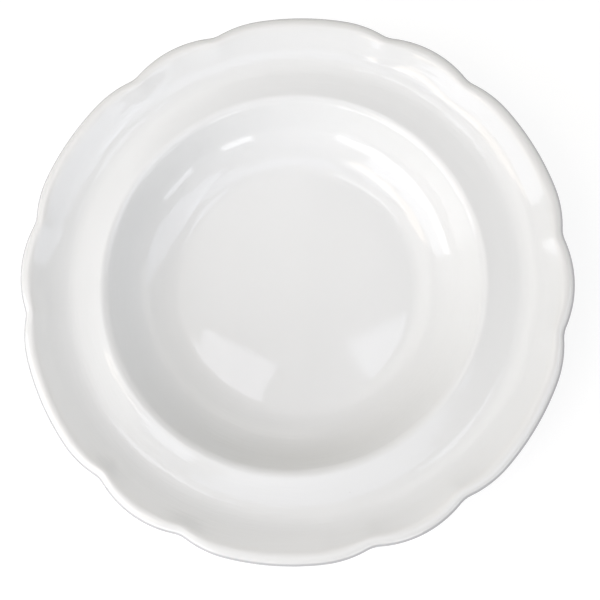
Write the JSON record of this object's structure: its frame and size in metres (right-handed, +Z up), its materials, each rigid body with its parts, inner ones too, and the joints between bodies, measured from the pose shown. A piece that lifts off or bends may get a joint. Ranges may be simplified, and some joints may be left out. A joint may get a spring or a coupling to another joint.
{
  "type": "rimmed soup plate",
  "caption": "Deep soup plate in white glazed porcelain, with a wide rising rim, a scalloped edge of wide and narrow lobes in turn, and a bare foot ring.",
  "frame": {"origin": "middle of the plane that the foot ring stands on", "axes": "+Z up through the middle of the well; +X through the middle of a narrow lobe, +Y through the middle of a wide lobe"},
  "size_m": [0.24, 0.24, 0.0426],
  "materials": {
    "bisque": "matt fired porcelain, bare only on the standing edge",
    "face_glaze": "glossy clear white glaze",
    "back_glaze": "glossy clear white glaze",
    "base_glaze": "glossy clear white glaze"
  },
  "bodies": {
    "root": {"porcelain_body": "bisque", "face_glaze": "face_glaze", "back_glaze": "back_glaze", "base_glaze": "base_glaze"}
  },
  "joints": []
}
